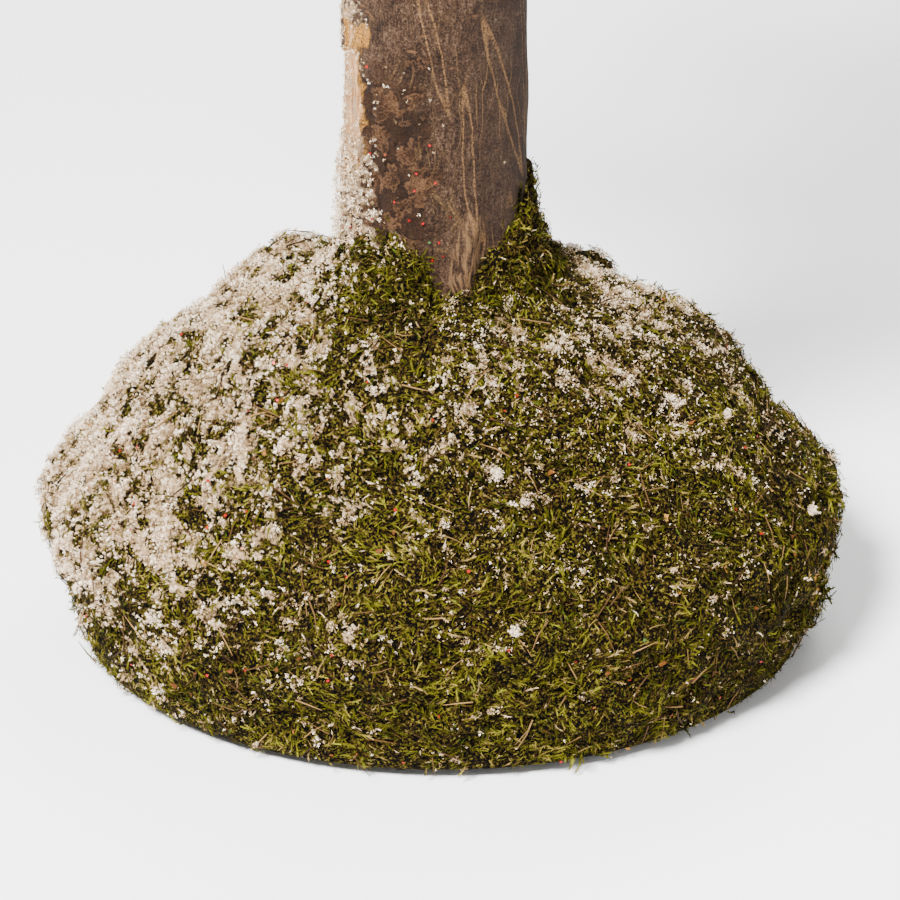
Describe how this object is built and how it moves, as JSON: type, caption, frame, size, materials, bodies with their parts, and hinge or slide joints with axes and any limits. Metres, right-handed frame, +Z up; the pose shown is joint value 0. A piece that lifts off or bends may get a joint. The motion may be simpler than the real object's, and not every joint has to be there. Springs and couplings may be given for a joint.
{
  "type": "artificial tabletop tree",
  "caption": "Tabletop artificial tree: a real wood trunk on a round weighted base under a moss and snow flock mound, with bendable wired branches in tiers and an upright leader.",
  "frame": {"origin": "centre of the felt pad's underside, on the surface the tree stands on", "axes": "+Z up the trunk; +X to the right and -Y to the front as the mound's moss collar is seen from the side with the open gap in it"},
  "size_m": [0.3113, 0.3175, 0.611],
  "materials": {
    "felt": "matte",
    "board": "matte",
    "steel": "satin",
    "cement": "matte",
    "foam": "matte",
    "moss": "matte",
    "bark": "matte",
    "foliage": "matte"
  },
  "bodies": {
    "stand": {"felt_pad": "felt", "base_board": "board", "washer": "steel", "coach_screw": "steel", "cement_ballast": "cement", "foam_mound": "foam", "moss_mat": "moss", "moss_tuft_right": "moss", "moss_tuft_left": "moss", "moss_tuft_back": "moss", "trunk": "bark", "leader": "foliage"},
    "branch_1_1": {"branch_1_1": "foliage"},
    "branch_1_2": {"branch_1_2": "foliage"},
    "branch_1_3": {"branch_1_3": "foliage"},
    "branch_1_4": {"branch_1_4": "foliage"},
    "branch_1_5": {"branch_1_5": "foliage"},
    "branch_2_1": {"branch_2_1": "foliage"},
    "branch_2_2": {"branch_2_2": "foliage"},
    "branch_2_3": {"branch_2_3": "foliage"},
    "branch_2_4": {"branch_2_4": "foliage"},
    "branch_2_5": {"branch_2_5": "foliage"},
    "branch_3_1": {"branch_3_1": "foliage"},
    "branch_3_2": {"branch_3_2": "foliage"},
    "branch_3_3": {"branch_3_3": "foliage"},
    "branch_3_4": {"branch_3_4": "foliage"},
    "branch_3_5": {"branch_3_5": "foliage"},
    "branch_4_1": {"branch_4_1": "foliage"},
    "branch_4_2": {"branch_4_2": "foliage"},
    "branch_4_3": {"branch_4_3": "foliage"},
    "branch_4_4": {"branch_4_4": "foliage"},
    "branch_4_5": {"branch_4_5": "foliage"},
    "branch_5_1": {"branch_5_1": "foliage"},
    "branch_5_2": {"branch_5_2": "foliage"},
    "branch_5_3": {"branch_5_3": "foliage"},
    "branch_5_4": {"branch_5_4": "foliage"},
    "branch_5_5": {"branch_5_5": "foliage"}
  },
  "joints": [
    {"name": "branch_1_1_bend", "type": "hinge", "parent": "stand", "child": "branch_1_1", "pos_m": [0.01592, -0.00044, 0.2599], "axis": [-0.0246, -0.9997, 0], "range_deg": [-20, 30]},
    {"name": "branch_1_2_bend", "type": "hinge", "parent": "stand", "child": "branch_1_2", "pos_m": [0.00453, 0.01665, 0.26221], "axis": [0.9309, -0.3652, 0], "range_deg": [-20, 30]},
    {"name": "branch_1_3_bend", "type": "hinge", "parent": "stand", "child": "branch_1_3", "pos_m": [-0.01579, 0.01138, 0.26204], "axis": [0.6366, 0.7712, 0], "range_deg": [-20, 30]},
    {"name": "branch_1_4_bend", "type": "hinge", "parent": "stand", "child": "branch_1_4", "pos_m": [-0.01661, -0.01041, 0.25942], "axis": [-0.5803, 0.8144, 0], "range_deg": [-20, 30]},
    {"name": "branch_1_5_bend", "type": "hinge", "parent": "stand", "child": "branch_1_5", "pos_m": [0.00334, -0.01703, 0.26396], "axis": [-0.9543, -0.299, 0], "range_deg": [-20, 30]},
    {"name": "branch_2_1_bend", "type": "hinge", "parent": "stand", "child": "branch_2_1", "pos_m": [0.01186, 0.00928, 0.32277], "axis": [0.5561, -0.8311, 0], "range_deg": [-20, 30]},
    {"name": "branch_2_2_bend", "type": "hinge", "parent": "stand", "child": "branch_2_2", "pos_m": [-0.00733, 0.01583, 0.32138], "axis": [0.9477, 0.3192, 0], "range_deg": [-20, 30]},
    {"name": "branch_2_3_bend", "type": "hinge", "parent": "stand", "child": "branch_2_3", "pos_m": [-0.01862, 0.00105, 0.32415], "axis": [0.0633, 0.998, 0], "range_deg": [-20, 30]},
    {"name": "branch_2_4_bend", "type": "hinge", "parent": "stand", "child": "branch_2_4", "pos_m": [-0.00796, -0.01565, 0.31971], "axis": [-0.9345, 0.3559, 0], "range_deg": [-20, 30]},
    {"name": "branch_2_5_bend", "type": "hinge", "parent": "stand", "child": "branch_2_5", "pos_m": [0.01196, -0.00923, 0.32008], "axis": [-0.5515, -0.8342, 0], "range_deg": [-20, 30]},
    {"name": "branch_3_1_bend", "type": "hinge", "parent": "stand", "child": "branch_3_1", "pos_m": [0.01347, 0.0003, 0.37923], "axis": [0.0194, -0.9998, 0], "range_deg": [-20, 30]},
    {"name": "branch_3_2_bend", "type": "hinge", "parent": "stand", "child": "branch_3_2", "pos_m": [0.00368, 0.01443, 0.37736], "axis": [0.9304, -0.3665, 0], "range_deg": [-20, 30]},
    {"name": "branch_3_3_bend", "type": "hinge", "parent": "stand", "child": "branch_3_3", "pos_m": [-0.01473, 0.00877, 0.37957], "axis": [0.5672, 0.8236, 0], "range_deg": [-20, 30]},
    {"name": "branch_3_4_bend", "type": "hinge", "parent": "stand", "child": "branch_3_4", "pos_m": [-0.0144, -0.00924, 0.37972], "axis": [-0.5974, 0.8019, 0], "range_deg": [-20, 30]},
    {"name": "branch_3_5_bend", "type": "hinge", "parent": "stand", "child": "branch_3_5", "pos_m": [0.00337, -0.01446, 0.38119], "axis": [-0.9376, -0.3478, 0], "range_deg": [-20, 30]},
    {"name": "branch_4_1_bend", "type": "hinge", "parent": "stand", "child": "branch_4_1", "pos_m": [0.00938, 0.00845, 0.43615], "axis": [0.5962, -0.8029, 0], "range_deg": [-20, 20]},
    {"name": "branch_4_2_bend", "type": "hinge", "parent": "stand", "child": "branch_4_2", "pos_m": [-0.00682, 0.01336, 0.43473], "axis": [0.9407, 0.3393, 0], "range_deg": [-20, 20]},
    {"name": "branch_4_3_bend", "type": "hinge", "parent": "stand", "child": "branch_4_3", "pos_m": [-0.01617, 0.00076, 0.43551], "axis": [0.0533, 0.9986, 0], "range_deg": [-20, 20]},
    {"name": "branch_4_4_bend", "type": "hinge", "parent": "stand", "child": "branch_4_4", "pos_m": [-0.00703, -0.01326, 0.43593], "axis": [-0.9349, 0.3548, 0], "range_deg": [-20, 20]},
    {"name": "branch_4_5_bend", "type": "hinge", "parent": "stand", "child": "branch_4_5", "pos_m": [0.00963, -0.00804, 0.43759], "axis": [-0.5686, -0.8226, 0], "range_deg": [-20, 20]},
    {"name": "branch_5_1_bend", "type": "hinge", "parent": "stand", "child": "branch_5_1", "pos_m": [0.01089, 0.00068, 0.48888], "axis": [0.0524, -0.9986, 0], "range_deg": [-20, 20]},
    {"name": "branch_5_2_bend", "type": "hinge", "parent": "stand", "child": "branch_5_2", "pos_m": [0.00181, 0.01229, 0.49048], "axis": [0.955, -0.2965, 0], "range_deg": [-20, 20]},
    {"name": "branch_5_3_bend", "type": "hinge", "parent": "stand", "child": "branch_5_3", "pos_m": [-0.01271, 0.00703, 0.49267], "axis": [0.5487, 0.836, 0], "range_deg": [-20, 20]},
    {"name": "branch_5_4_bend", "type": "hinge", "parent": "stand", "child": "branch_5_4", "pos_m": [-0.0123, -0.00785, 0.48736], "axis": [-0.6062, 0.7953, 0], "range_deg": [-20, 20]},
    {"name": "branch_5_5_bend", "type": "hinge", "parent": "stand", "child": "branch_5_5", "pos_m": [0.00221, -0.0121, 0.49296], "axis": [-0.9445, -0.3285, 0], "range_deg": [-20, 20]}
  ]
}
